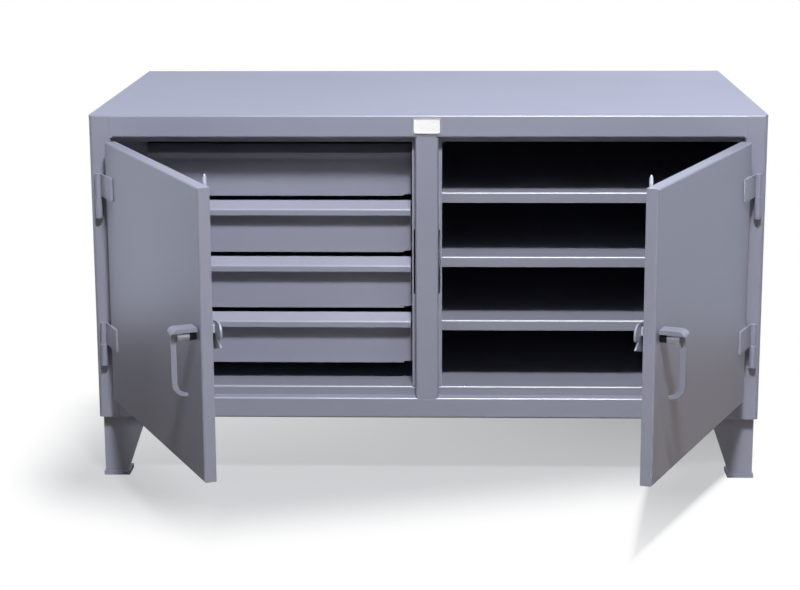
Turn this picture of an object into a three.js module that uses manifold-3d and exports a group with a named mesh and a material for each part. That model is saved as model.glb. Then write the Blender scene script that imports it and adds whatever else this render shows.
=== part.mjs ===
// A welded sheet-steel workbench: a cabinet on four legs with a steel worktop, a bank of
// drawers behind the left door, shelves behind the right door, and a three-point latch on
// each door. Millimetres, +Z up, front towards -Y, both doors standing open.
import * as THREE from "three";
import { mergeVertices } from "three/addons/utils/BufferGeometryUtils.js";
import Module from "manifold-3d";

const wasm = await Module();
wasm.setup();

// Overall sizes
const WIDTH = 1524;
const DEPTH = 914;
const HEIGHT = 850;
const LEG_HEIGHT = 146;

// Sheet thicknesses, bends and the gap between pieces that touch
const TOP_SHEET = 5;
const TOP_EDGE_BEND = 4;
const SHEET = 3;
const DRAWER_SHEET = 2;
const CORNER_BEND = 10;
const SMALL_BEND = 5;
const BEND_STEPS = 4;
const ROUND_STEPS = 20;
const CONTACT_GAP = 0.3;
const CUT_EXTRA = 1;

// Front frame
const STILE = 49.5;
const TOP_RAIL = 51;
const RAIL_OVERLAP = 0.5;
const BOTTOM_RAIL = 49;
const POST_WIDTH = 52;
const POST_FLANGE = 8;
const POST_FLANGE_BEND = 4;
const BASE_FLANGE = 40;
const STOP_LIP = 12;
const STOP_GAP = 1;

// Doors
const DOOR_THICKNESS = 25.4;
const DOOR_SIDE_GAP = 2.5;
const DOOR_TOP_GAP = 4.5;
const DOOR_BOTTOM_GAP = 2;
const LEFT_DOOR_OPEN = 65;
const RIGHT_DOOR_OPEN = 67;

// Lift-off hinges
const HINGE_AXIS_INSET = 19;
const HINGE_AXIS_PROUD = 8.5;
const HINGE_RADIUS = 6.8;
const HINGE_FRAME_RADIUS = 8;
const HINGE_PIN_RADIUS = 3.6;
const HINGE_PIN_LENGTH = 44;
const HINGE_LEAF = 4;
const HINGE_LEAF_ON_DOOR = 58;
const HINGE_FRAME_BLOCK = 8;
const HINGE_KNUCKLE = 51;
const HINGE_FROM_DOOR_END = 126.25;

// Latch: handle, spindle, cam and rods, measured from the door's free edge
const LATCH_ABOVE_MIDDLE = -1.75;
const SPINDLE_FROM_EDGE = 36;
const SPINDLE_RADIUS = 6;
const SPINDLE_FROM_BAR = 1.5;
const SPINDLE_HUB_RADIUS = 10;
const SPINDLE_HUB_LENGTH = 26;
const SPINDLE_CLEARANCE = 0.4;
const GRIP_WIDTH = 38;
const GRIP_OUT = 53;
const GRIP_LEDGE = 8.5;
const GRIP_BAR = 11.5;
const GRIP_BAR_WIDTH = 11;
const GRIP_NECK = 30;
const GRIP_DROP = 140.5;
const GRIP_RETURN = 33.5;
const GRIP_TOP_BEND = 8;
const GRIP_END_BEND = 30;
const GRIP_END_SHEET = 5;
const CAM_SHEET = 4;
const CAM_RADIUS = 30;
const CAM_REACH = 26.5;
const CAM_LOBE_RADIUS = 22;
const CAM_LOBE_RISE = 11;
const CAM_LOBE_BELOW = 10;
const CAM_NOTCH_DEPTH = 23;
const CAM_HOOK_BACK = 4;
const CAM_HOOK_TIP_DROP = 17;
const CAM_HOOK_LENGTH = 32;
const CAM_HOOK_DROP = 25.5;
const CRANK_RADIUS = 22;
const CRANK_PIN_RADIUS = 4;
const YOKE_SHEET = 4;
const YOKE_FROM_DOOR = 2;
const YOKE_GAP = 0.5;
const YOKE_RIM = 3;
const YOKE_PLAY = 1.2;
const YOKE_ARM = 8;
const YOKE_BRIDGE_ABOVE = 62;
const YOKE_BRIDGE_BELOW = 100;
const YOKE_BRIDGE_HEIGHT = 14;
const ROD_FROM_EDGE = 58.5;
const ROD_FROM_DOOR = 9;
const ROD_RADIUS = 4;
const ROD_TIP_TAPER = 7;
const ROD_ABOVE_DOOR = 16.5;
const ROD_ABOVE_DOOR_BOTTOM = 3;
const ROD_HOLE_CLEARANCE = 1.5;
const LATCH_CHANNEL_WIDTH = 84;
const LATCH_CHANNEL_FROM_EDGE = 14;
const GUIDE_CLEARANCE = 0.5;
const GUIDE_SHEET = 2;
const GUIDE_FLANGE = 13;
const GUIDE_BEND = 3;
const GUIDE_HEIGHT = 30;
const GUIDE_FROM_DOOR_TOP = 45.5;
const GUIDE_FROM_DOOR_BOTTOM = 68;
const POST_SLOT_BELOW = 59;
const POST_SLOT_ABOVE = 91;
const POST_SLOT_WIDTH = 4.5;

// Interior
const DIVIDER_FRONT = 45;
const FLOOR_RISE = 21;
const FLOOR_LIP = 24;
const SHELF_FRONT = 60;
const SHELF_COUNT = 3;
const UPPER_SHELF_SPACE = 133;
const SHELF_LIP = 25;
const SHELF_END_GAP = 4;
const SHELF_BACK_GAP = 12;
const CLEAT_LEDGE = 25;
const CLEAT_POST = 40;
const CLEAT_POST_SETBACK = 90;

// Drawers
const DRAWER_COUNT = 4;
const DRAWER_PULL_FRONT = 60;
const DRAWER_PULL_REACH = 23;
const DRAWER_PULL_DROP = 23;
const DRAWER_PULL_LIP = 13;
const DRAWER_BASE = 41.5;
const DRAWER_TOP_SPACE = 20;
const DRAWER_GAP = 6;
const DRAWER_NOTCH_WIDTH = 17;
const DRAWER_NOTCH_HEIGHT = 4;
const DRAWER_FROM_SIDE = 122;
const DRAWER_FROM_DIVIDER = 12;
const DRAWER_BOX_INSET = 8;
const DRAWER_BOX_BELOW_FRONT = 27;
const DRAWER_BACK_SPACE = 205.4;
const DRAWER_TOP_BEND = 3;
const DRAWER_LIP_BEND = 4;
const DRAWER_RUNNER_WIDTH = 14;
const DRAWER_PANEL_SETBACK = 6;

// Legs and feet
const LEG_INSET = 7;
const LEG_SETBACK = 20;
const LEG_SHEET = 5;
const LEG_TOP_WIDTH = 101;
const LEG_BOTTOM_WIDTH = 54;
const FOOT_SHEET = 10;
const FOOT_OVERHANG = 3;
const FOOT_BOLT_RADIUS = 7;

// Blank plate on the top rail
const PLATE_WIDTH = 64;
const PLATE_HEIGHT = 37;
const PLATE_SHEET = 1.2;
const PLATE_CORNER = 5;

// Places worked out from the sizes above
const HALF_WIDTH = WIDTH / 2;
const BODY_BOTTOM = LEG_HEIGHT;
const TOP_UNDERSIDE = HEIGHT - TOP_SHEET;
const TOP_RAIL_BOTTOM = HEIGHT - TOP_RAIL;
const BOTTOM_RAIL_TOP = BODY_BOTTOM + BOTTOM_RAIL;
const FLOOR_TOP = BOTTOM_RAIL_TOP + FLOOR_RISE;
const STOP_FRONT = DOOR_THICKNESS + STOP_GAP;
const FLOOR_FRONT = STOP_FRONT + CONTACT_GAP;
const WALL_INSIDE = HALF_WIDTH - SHEET;
const OPENING_SIDE = HALF_WIDTH - STILE;
const RAIL_HALF = OPENING_SIDE - CONTACT_GAP;
const POST_HALF = POST_WIDTH / 2;
const INSIDE_BACK = DEPTH - SHEET - CONTACT_GAP;
const DOOR_BOTTOM = BOTTOM_RAIL_TOP + DOOR_BOTTOM_GAP;
const DOOR_TOP = TOP_RAIL_BOTTOM - DOOR_TOP_GAP;
const HINGE_HEIGHTS = { upper: DOOR_TOP - HINGE_FROM_DOOR_END, lower: DOOR_BOTTOM + HINGE_FROM_DOOR_END };
const LATCH_HEIGHT = (DOOR_BOTTOM + DOOR_TOP) / 2 + LATCH_ABOVE_MIDDLE;
const SHELF_PITCH = (TOP_RAIL_BOTTOM - UPPER_SHELF_SPACE - FLOOR_TOP) / SHELF_COUNT;
const DRAWER_STACK = TOP_RAIL_BOTTOM - DRAWER_TOP_SPACE - FLOOR_TOP - DRAWER_BASE;
const DRAWER_PITCH = (DRAWER_STACK + DRAWER_GAP) / DRAWER_COUNT;
const DRAWER_HEIGHT = DRAWER_PITCH - DRAWER_GAP;
const DRAWER_BOX_HEIGHT = DRAWER_HEIGHT - DRAWER_BOX_INSET - DRAWER_BOX_BELOW_FRONT;
const HINGE_AXIS_X = -(HALF_WIDTH - HINGE_AXIS_INSET);
const DOOR_NEAR = STILE + DOOR_SIDE_GAP - HINGE_AXIS_INSET;
const DOOR_FAR = HALF_WIDTH - HINGE_AXIS_INSET - POST_HALF - DOOR_SIDE_GAP;
const DOOR_FACE = HINGE_AXIS_PROUD;
const DOOR_INSIDE = DOOR_FACE + DOOR_THICKNESS;
const SPINDLE_X = DOOR_FAR - SPINDLE_FROM_EDGE;
const ROD_X = DOOR_FAR - ROD_FROM_EDGE;
const YOKE_FRONT = DOOR_INSIDE + YOKE_FROM_DOOR;
const YOKE_BACK = YOKE_FRONT + YOKE_SHEET;
const CAM_FRONT = YOKE_BACK + YOKE_GAP;
const CAM_BACK = CAM_FRONT + CAM_SHEET;
const ROD_Y = DOOR_INSIDE + ROD_FROM_DOOR;
const CRANK_OFFSET = CRANK_RADIUS * Math.SQRT1_2;
const ROD_HOLE_X = -HALF_WIDTH + HINGE_AXIS_INSET + ROD_X;
const ROD_HOLE_Y = ROD_Y - HINGE_AXIS_PROUD;

const paint = (color) => new THREE.MeshStandardMaterial({ color, roughness: 0.42, metalness: 0.1 });
const bodyPaint = paint(0x8c90a2);
const topPaint = paint(0x9aa0b2);
const insidePaint = paint(0x6e7180);
const plated = new THREE.MeshStandardMaterial({ color: 0xb9bcc2, roughness: 0.3, metalness: 1 });
const plateWhite = new THREE.MeshStandardMaterial({ color: 0xd9dbe0, roughness: 0.4, metalness: 0.2 });

// Solids from three.js geometry, for joining and cutting

function solidOf(geometry) {
  const bare = new THREE.BufferGeometry();
  bare.setAttribute("position", geometry.getAttribute("position"));
  bare.setIndex(geometry.index);
  const merged = mergeVertices(bare, 1e-4);
  return new wasm.Manifold(
    new wasm.Mesh({
      numProp: 3,
      vertProperties: merged.getAttribute("position").array,
      triVerts: new Uint32Array(merged.index.array),
    }),
  );
}

function geometryOf(solid) {
  const mesh = solid.getMesh();
  const geometry = new THREE.BufferGeometry();
  geometry.setAttribute("position", new THREE.BufferAttribute(mesh.vertProperties, 3));
  geometry.setIndex(new THREE.BufferAttribute(mesh.triVerts, 1));
  geometry.computeVertexNormals();
  return geometry;
}

const join = (first, ...rest) => rest.reduce((sum, next) => sum.add(next), first);
const cut = (first, ...rest) => rest.reduce((left, next) => left.subtract(next), first);

function block([x0, x1], [y0, y1], [z0, z1]) {
  const geometry = new THREE.BoxGeometry(x1 - x0, y1 - y0, z1 - z0);
  geometry.translate((x0 + x1) / 2, (y0 + y1) / 2, (z0 + z1) / 2);
  return solidOf(geometry);
}

// The three ways to extrude an outline: the outline's two axes come first, in order.
const axes = {
  z: [new THREE.Vector3(1, 0, 0), new THREE.Vector3(0, 1, 0), new THREE.Vector3(0, 0, 1)],
  x: [new THREE.Vector3(0, 1, 0), new THREE.Vector3(0, 0, 1), new THREE.Vector3(1, 0, 0)],
  y: [new THREE.Vector3(1, 0, 0), new THREE.Vector3(0, 0, 1), new THREE.Vector3(0, -1, 0)],
};

function extrude(shape, direction, [from, to]) {
  const geometry = new THREE.ExtrudeGeometry(shape, {
    depth: to - from,
    bevelEnabled: false,
    curveSegments: ROUND_STEPS,
  });
  geometry.translate(0, 0, direction === "y" ? -to : from);
  geometry.applyMatrix4(new THREE.Matrix4().makeBasis(...axes[direction]));
  return solidOf(geometry);
}

// A round bar along Y or Z, standing at (a, b) on the two other axes.
function bar(direction, [a, b], radius, [from, to]) {
  const geometry = new THREE.CylinderGeometry(radius, radius, to - from, ROUND_STEPS);
  geometry.translate(0, (from + to) / 2, 0);
  if (direction === "z") {
    geometry.rotateX(Math.PI / 2);
    geometry.translate(a, b, 0);
  } else {
    geometry.translate(a, 0, b);
  }
  return solidOf(geometry);
}

const outline = (points) => new THREE.Shape(points.map(([a, b]) => new THREE.Vector2(a, b)));

// A path with an arc of its own radius at each inner corner.
function roundedPath(corners, radii) {
  const path = [];
  corners.forEach((corner, i) => {
    const radius = radii[i];
    if (i === 0 || i === corners.length - 1 || radius <= 0) {
      path.push(corner);
      return;
    }
    const arriving = corner.clone().sub(corners[i - 1]).normalize();
    const leaving = corners[i + 1].clone().sub(corner).normalize();
    const turn = Math.atan2(arriving.cross(leaving), arriving.dot(leaving));
    const tangent = radius * Math.tan(Math.abs(turn) / 2);
    const start = corner.clone().addScaledVector(arriving, -tangent);
    const toCentre = new THREE.Vector2(-arriving.y, arriving.x).multiplyScalar(Math.sign(turn) * radius);
    const centre = start.clone().add(toCentre);
    for (let step = 0; step <= BEND_STEPS; step++) {
      path.push(start.clone().rotateAround(centre, (turn * step) / BEND_STEPS));
    }
  });
  return path;
}

// A folded sheet's section: the sheet lies to the left of the path, and each bend has the
// given outer radius.
function fold(points, thickness, bends) {
  const corners = points.map(([a, b]) => new THREE.Vector2(a, b));
  const last = corners.length - 1;
  const along = corners.slice(1).map((corner, i) => corner.clone().sub(corners[i]).normalize());
  const left = along.map((d) => new THREE.Vector2(-d.y, d.x));
  const turns = corners.map((_, i) => (i === 0 || i === last ? 0 : along[i - 1].cross(along[i])));
  const offset = corners.map((corner, i) => {
    if (i === 0 || i === last) return corner.clone().addScaledVector(left[i ? i - 1 : 0], thickness);
    const bisector = left[i - 1].clone().add(left[i]);
    return corner.clone().addScaledVector(bisector, (2 * thickness) / bisector.lengthSq());
  });
  const outer = corners.map((_, i) => (Array.isArray(bends) ? bends[i - 1] ?? 0 : bends));
  const inner = outer.map((radius) => Math.max(radius - thickness, 0));
  const near = roundedPath(corners, turns.map((turn, i) => (turn > 0 ? outer[i] : inner[i])));
  const far = roundedPath(offset, turns.map((turn, i) => (turn > 0 ? inner[i] : outer[i])));
  return new THREE.Shape([...near, ...far.reverse()]);
}

// A rectangle with rounded corners, as an outline; radii start at the low-low corner and go
// round counter-clockwise.
function roundedRectangle([a0, a1], [b0, b1], radii) {
  const [lowLow, highLow, highHigh, lowHigh] = radii;
  const shape = new THREE.Shape();
  shape.moveTo(a0 + lowLow, b0);
  shape.lineTo(a1 - highLow, b0);
  if (highLow) shape.absarc(a1 - highLow, b0 + highLow, highLow, -Math.PI / 2, 0, false);
  shape.lineTo(a1, b1 - highHigh);
  if (highHigh) shape.absarc(a1 - highHigh, b1 - highHigh, highHigh, 0, Math.PI / 2, false);
  shape.lineTo(a0 + lowHigh, b1);
  if (lowHigh) shape.absarc(a0 + lowHigh, b1 - lowHigh, lowHigh, Math.PI / 2, Math.PI, false);
  shape.lineTo(a0, b0 + lowLow);
  if (lowLow) shape.absarc(a0 + lowLow, b0 + lowLow, lowLow, Math.PI, Math.PI * 1.5, false);
  const corners = shape.extractPoints(BEND_STEPS).shape;
  return new THREE.Shape(corners.filter((p, i) => p.distanceTo(corners.at(i - 1)) > 1e-6));
}

function addPiece(group, name, solid, material) {
  const mesh = new THREE.Mesh(geometryOf(solid), material);
  mesh.name = name;
  group.add(mesh);
}

// Carcass

function worktop() {
  const plan = roundedRectangle([-HALF_WIDTH, HALF_WIDTH], [0, DEPTH], [CORNER_BEND, CORNER_BEND, 0, 0]);
  const section = roundedRectangle([0, DEPTH], [TOP_UNDERSIDE, HEIGHT], [0, 0, 0, TOP_EDGE_BEND]);
  const slab = extrude(plan, "z", [TOP_UNDERSIDE, HEIGHT]);
  const plate = slab.intersect(extrude(section, "x", [-HALF_WIDTH, HALF_WIDTH]));
  const railPath = [
    [0, TOP_UNDERSIDE + SHEET],
    [0, TOP_RAIL_BOTTOM],
    [STOP_FRONT, TOP_RAIL_BOTTOM],
    [STOP_FRONT, TOP_RAIL_BOTTOM - STOP_LIP],
  ];
  const rail = extrude(fold(railPath, SHEET, SMALL_BEND), "x", [-RAIL_HALF, RAIL_HALF]);
  const railTop = TOP_UNDERSIDE + RAIL_OVERLAP;
  const headroom = block([-HALF_WIDTH, HALF_WIDTH], [-CUT_EXTRA, SHEET], [railTop, HEIGHT + CUT_EXTRA]);
  return join(plate, cut(rail, headroom));
}

function leftSide() {
  const path = [
    [-HALF_WIDTH, DEPTH],
    [-HALF_WIDTH, 0],
    [-OPENING_SIDE, 0],
    [-OPENING_SIDE, STOP_FRONT],
  ];
  const wall = extrude(fold(path, SHEET, [CORNER_BEND, SMALL_BEND]), "z", [
    BODY_BOTTOM,
    TOP_UNDERSIDE - CONTACT_GAP,
  ]);
  const flange = block(
    [-HALF_WIDTH + SHEET / 2, -WALL_INSIDE + BASE_FLANGE],
    [BASE_FLANGE + SMALL_BEND, DEPTH - BASE_FLANGE - SMALL_BEND],
    [BODY_BOTTOM, BODY_BOTTOM + SHEET],
  );
  return join(wall, flange);
}

function backPanel() {
  const half = WALL_INSIDE - CONTACT_GAP;
  const path = [
    [half, DEPTH - BASE_FLANGE],
    [half, DEPTH],
    [-half, DEPTH],
    [-half, DEPTH - BASE_FLANGE],
  ];
  const sheet = extrude(fold(path, SHEET, SMALL_BEND), "z", [
    BODY_BOTTOM + SHEET + CONTACT_GAP,
    TOP_UNDERSIDE - CONTACT_GAP,
  ]);
  const flangeHalf = half - BASE_FLANGE;
  const flangeFold = fold(
    [
      [DEPTH - BASE_FLANGE, BODY_BOTTOM],
      [DEPTH, BODY_BOTTOM],
      [DEPTH, BODY_BOTTOM + BASE_FLANGE],
    ],
    SHEET,
    SMALL_BEND,
  );
  return join(sheet, extrude(flangeFold, "x", [-flangeHalf, flangeHalf]));
}

function bottomRail() {
  const path = [
    [STOP_FRONT, BOTTOM_RAIL_TOP],
    [0, BOTTOM_RAIL_TOP],
    [0, BODY_BOTTOM],
    [BASE_FLANGE, BODY_BOTTOM],
  ];
  return extrude(fold(path, SHEET, SMALL_BEND), "x", [-RAIL_HALF, RAIL_HALF]);
}

// One floor across both compartments, with a front lip and a hole for each lower lock rod
function floorPan() {
  const half = WALL_INSIDE - CONTACT_GAP;
  const path = [
    [INSIDE_BACK - BASE_FLANGE, FLOOR_TOP],
    [FLOOR_FRONT, FLOOR_TOP],
    [FLOOR_FRONT, FLOOR_TOP - FLOOR_LIP],
  ];
  const rodHoles = [ROD_HOLE_X, -ROD_HOLE_X].map((x) =>
    bar("z", [x, ROD_HOLE_Y], ROD_RADIUS + ROD_HOLE_CLEARANCE, [FLOOR_TOP - 2 * SHEET, FLOOR_TOP + SHEET]),
  );
  return cut(extrude(fold(path, SHEET, SMALL_BEND), "x", [-half, half]), ...rodHoles);
}

// A hat section: its flanges stop the doors, and each cam's nose turns in behind a flange
function centrePost() {
  const reach = POST_HALF + POST_FLANGE;
  const path = [
    [-reach, STOP_FRONT],
    [-POST_HALF, STOP_FRONT],
    [-POST_HALF, 0],
    [POST_HALF, 0],
    [POST_HALF, STOP_FRONT],
    [reach, STOP_FRONT],
  ];
  const bends = [POST_FLANGE_BEND, SMALL_BEND, SMALL_BEND, POST_FLANGE_BEND];
  const hat = extrude(fold(path, SHEET, bends), "z", [
    BOTTOM_RAIL_TOP + CONTACT_GAP,
    TOP_RAIL_BOTTOM - CONTACT_GAP,
  ]);
  const acrossFlanges = [-reach - CUT_EXTRA, reach + CUT_EXTRA];
  const behindStopLip = block(
    acrossFlanges,
    [STOP_FRONT - 2 * SHEET, STOP_FRONT + 2 * SHEET],
    [TOP_RAIL_BOTTOM - STOP_LIP - CONTACT_GAP, TOP_RAIL_BOTTOM],
  );
  const aboveFloor = block(
    acrossFlanges,
    [STOP_FRONT - 2 * SHEET, STOP_FRONT + 2 * SHEET],
    [BOTTOM_RAIL_TOP, FLOOR_TOP + CONTACT_GAP],
  );
  const slots = [-1, 1].map((side) => {
    const edges = [side * POST_HALF, side * (POST_HALF + POST_SLOT_WIDTH)].sort((a, b) => a - b);
    return block(
      edges,
      [STOP_FRONT - SHEET, STOP_FRONT + 2 * SHEET],
      [LATCH_HEIGHT - POST_SLOT_BELOW, LATCH_HEIGHT + POST_SLOT_ABOVE],
    );
  });
  return cut(hat, behindStopLip, aboveFloor, ...slots);
}

function leftDivider() {
  return block(
    [-POST_HALF, -POST_HALF + SHEET],
    [DIVIDER_FRONT, INSIDE_BACK - BASE_FLANGE],
    [FLOOR_TOP + CONTACT_GAP, TOP_UNDERSIDE - CONTACT_GAP],
  );
}

function shelf(top) {
  const back = INSIDE_BACK - SHELF_BACK_GAP;
  const path = [
    [back, top],
    [SHELF_FRONT, top],
    [SHELF_FRONT, top - SHELF_LIP],
  ];
  return extrude(fold(path, SHEET, SMALL_BEND), "x", [
    POST_HALF + CONTACT_GAP + SHEET + SHELF_END_GAP,
    WALL_INSIDE - CONTACT_GAP - SHEET - SHELF_END_GAP,
  ]);
}

const shelfTops = { upper: SHELF_COUNT, middle: SHELF_COUNT - 1, lower: SHELF_COUNT - 2 };
for (const level of Object.keys(shelfTops)) shelfTops[level] = FLOOR_TOP + SHELF_PITCH * shelfTops[level];

// Two uprights on a wall with one ledge under each shelf; inward is the side the ledges reach to.
function shelfCleats(wall, inward) {
  const span = (depth) => [wall, wall + inward * depth].sort((a, b) => a - b);
  const back = INSIDE_BACK - BASE_FLANGE - SHELF_BACK_GAP;
  const front = SHELF_FRONT + SHEET + CONTACT_GAP;
  const uprights = [front + CLEAT_POST_SETBACK, back - CLEAT_POST_SETBACK].map((middle) =>
    block(
      span(SHEET),
      [middle - CLEAT_POST / 2, middle + CLEAT_POST / 2],
      [FLOOR_TOP + CONTACT_GAP, shelfTops.upper - SHEET - CONTACT_GAP],
    ),
  );
  const ledges = Object.values(shelfTops).map((top) => {
    const under = top - SHEET - CONTACT_GAP;
    const path = [
      [wall + inward * CLEAT_LEDGE, under],
      [wall, under],
      [wall, under - CLEAT_LEDGE],
    ];
    return extrude(fold(inward > 0 ? path : path.reverse(), SHEET, 0), "y", [front + SHEET, back]);
  });
  return join(...ledges, ...uprights);
}

// Legs, one corner: the other three are mirror images

function leg() {
  const outside = -HALF_WIDTH + LEG_INSET;
  const bottom = FOOT_SHEET + CONTACT_GAP;
  const top = BODY_BOTTOM - CONTACT_GAP;
  const taper = (start) => outline([
    [start, bottom],
    [start + LEG_BOTTOM_WIDTH, bottom],
    [start + LEG_TOP_WIDTH, top],
    [start, top],
  ]);
  const frontPlate = extrude(taper(outside), "y", [LEG_SETBACK, LEG_SETBACK + LEG_SHEET]);
  const sidePlate = extrude(taper(LEG_SETBACK), "x", [outside, outside + LEG_SHEET]);
  return join(frontPlate, sidePlate);
}

function foot() {
  const outside = -HALF_WIDTH + LEG_INSET - FOOT_OVERHANG;
  const front = LEG_SETBACK - FOOT_OVERHANG;
  const size = LEG_BOTTOM_WIDTH + 2 * FOOT_OVERHANG;
  const plate = block([outside, outside + size], [front, front + size], [0, FOOT_SHEET]);
  const boltFrom = LEG_SHEET + FOOT_OVERHANG + (size - LEG_SHEET - FOOT_OVERHANG) / 2;
  const boltSpan = [-CUT_EXTRA, FOOT_SHEET + CUT_EXTRA];
  const bolt = bar("z", [outside + boltFrom, front + boltFrom], FOOT_BOLT_RADIUS, boltSpan);
  return cut(plate, bolt);
}

function namePlate() {
  const middle = (TOP_UNDERSIDE + TOP_RAIL_BOTTOM) / 2 + SHEET;
  const shape = roundedRectangle(
    [-PLATE_WIDTH / 2, PLATE_WIDTH / 2],
    [middle - PLATE_HEIGHT / 2, middle + PLATE_HEIGHT / 2],
    [PLATE_CORNER, PLATE_CORNER, PLATE_CORNER, PLATE_CORNER],
  );
  return extrude(shape, "y", [-PLATE_SHEET - CONTACT_GAP, -CONTACT_GAP]);
}

// Drawers

const drawerLeft = -HALF_WIDTH + DRAWER_FROM_SIDE;
const drawerRight = -POST_HALF - DRAWER_FROM_DIVIDER;
const drawerFace = DRAWER_PULL_FRONT + DRAWER_PULL_REACH;
const boxFront = drawerFace + DRAWER_SHEET + CONTACT_GAP;
const boxLength = INSIDE_BACK - DRAWER_BACK_SPACE - boxFront;
const boxLeft = drawerLeft + DRAWER_BOX_INSET;
const boxRight = drawerRight - DRAWER_BOX_INSET;
const drawerBottom = (index) => FLOOR_TOP + DRAWER_BASE + DRAWER_PITCH * (DRAWER_COUNT - index);
const boxBottom = (index) => drawerBottom(index) + DRAWER_BOX_INSET;

// A folded front: flat panel, sloping full-width pull and a short lip turned down.
function drawerFront(index) {
  const bottom = drawerBottom(index);
  const top = bottom + DRAWER_HEIGHT;
  const lipTop = top - DRAWER_PULL_DROP;
  const path = [
    [drawerFace + DRAWER_SHEET, bottom],
    [drawerFace + DRAWER_SHEET, top],
    [DRAWER_PULL_FRONT, lipTop],
    [DRAWER_PULL_FRONT, lipTop - DRAWER_PULL_LIP],
  ];
  const sheet = extrude(fold(path, DRAWER_SHEET, [DRAWER_TOP_BEND, DRAWER_LIP_BEND]), "x", [
    drawerLeft,
    drawerRight,
  ]);
  const notches = [
    [drawerLeft - CUT_EXTRA, drawerLeft + DRAWER_NOTCH_WIDTH],
    [drawerRight - DRAWER_NOTCH_WIDTH, drawerRight + CUT_EXTRA],
  ].map((span) =>
    block(
      span,
      [drawerFace - CUT_EXTRA, drawerFace + DRAWER_SHEET + CUT_EXTRA],
      [bottom - CUT_EXTRA, bottom + DRAWER_NOTCH_HEIGHT],
    ),
  );
  return cut(sheet, ...notches);
}

function drawerBox(index) {
  const bottom = boxBottom(index);
  const tray = block(
    [boxLeft, boxRight],
    [boxFront, boxFront + boxLength],
    [bottom, bottom + DRAWER_BOX_HEIGHT],
  );
  const hollow = block(
    [boxLeft + DRAWER_SHEET, boxRight - DRAWER_SHEET],
    [boxFront + DRAWER_SHEET, boxFront + boxLength - DRAWER_SHEET],
    [bottom + DRAWER_SHEET, bottom + DRAWER_BOX_HEIGHT + CUT_EXTRA],
  );
  return cut(tray, hollow);
}

const drawerNumbers = Array.from({ length: DRAWER_COUNT }, (_, i) => i + 1);
const runnerBack = boxFront + boxLength;

// One ledge for each drawer box to slide on, from the panel at wall to under the box's side.
function drawerRunners(wall, under) {
  const span = [wall, under].sort((a, b) => a - b);
  return drawerNumbers.map((index) => {
    const top = boxBottom(index) - CONTACT_GAP;
    return block(span, [boxFront + DRAWER_PANEL_SETBACK, runnerBack], [top - SHEET, top]);
  });
}

// The panel left of the drawers stands on the floor and turns towards the side wall in front.
function leftDrawerPanel() {
  const face = drawerLeft - CONTACT_GAP;
  const front = boxFront + DRAWER_PANEL_SETBACK;
  const path = [
    [-WALL_INSIDE + CONTACT_GAP, front],
    [face, front],
    [face, runnerBack],
  ];
  const top = TOP_UNDERSIDE - CONTACT_GAP;
  const panel = extrude(fold(path, SHEET, SMALL_BEND), "z", [FLOOR_TOP + CONTACT_GAP, top]);
  return join(panel, ...drawerRunners(face - SHEET / 2, boxLeft + DRAWER_RUNNER_WIDTH));
}

function rightDrawerPanel() {
  const wall = -POST_HALF - CONTACT_GAP;
  const panel = block(
    [wall - SHEET, wall],
    [boxFront + DRAWER_PANEL_SETBACK, runnerBack],
    [FLOOR_TOP + CONTACT_GAP, drawerBottom(1) + DRAWER_HEIGHT],
  );
  return join(panel, ...drawerRunners(wall - SHEET / 2, boxRight - DRAWER_RUNNER_WIDTH));
}

// Door, in its own frame: X from the hinge axis towards the free edge, Y inwards, shut

function doorPan() {
  const width = [DOOR_NEAR, DOOR_FAR];
  const depth = [DOOR_FACE, DOOR_INSIDE];
  const height = [DOOR_BOTTOM, DOOR_TOP];
  const plan = extrude(roundedRectangle(width, depth, [SMALL_BEND, SMALL_BEND, 0, 0]), "z", height);
  const side = extrude(roundedRectangle(depth, height, [SMALL_BEND, 0, 0, SMALL_BEND]), "x", width);
  const slab = plan.intersect(side);
  const hollow = block(
    [DOOR_NEAR + SHEET, DOOR_FAR - SHEET],
    [DOOR_FACE + SHEET, DOOR_INSIDE + CUT_EXTRA],
    [DOOR_BOTTOM + SHEET, DOOR_TOP - SHEET],
  );
  return cut(slab, hollow, spindleHole());
}

function spindleHole() {
  return bar("y", [SPINDLE_X, LATCH_HEIGHT], SPINDLE_RADIUS + SPINDLE_CLEARANCE, [
    DOOR_FACE - CUT_EXTRA,
    CAM_BACK + CUT_EXTRA,
  ]);
}

// A hat channel inside the pan, full height, which carries the latch.
function latchChannel() {
  const right = DOOR_FAR - LATCH_CHANNEL_FROM_EDGE;
  const left = right - LATCH_CHANNEL_WIDTH;
  const foot = DOOR_FACE + SHEET + CONTACT_GAP;
  const path = [
    [right, foot],
    [right, DOOR_INSIDE],
    [left, DOOR_INSIDE],
    [left, foot],
  ];
  const channel = extrude(fold(path, SHEET, SMALL_BEND), "z", [
    DOOR_BOTTOM + SHEET + CONTACT_GAP,
    DOOR_TOP - SHEET - CONTACT_GAP,
  ]);
  return cut(channel, spindleHole());
}

const hingeLeafSpan = [DOOR_FACE - CONTACT_GAP - HINGE_LEAF, DOOR_FACE - CONTACT_GAP];

function hingeDoorHalf(split) {
  const height = [split, split + HINGE_KNUCKLE];
  const knuckle = bar("z", [0, 0], HINGE_RADIUS, height);
  const leaf = block([0, DOOR_NEAR + HINGE_LEAF_ON_DOOR], hingeLeafSpan, height);
  const socketSpan = [split - CUT_EXTRA, split + HINGE_PIN_LENGTH + CUT_EXTRA];
  const socket = bar("z", [0, 0], HINGE_PIN_RADIUS + CONTACT_GAP, socketSpan);
  return cut(join(knuckle, leaf), socket);
}

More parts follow.
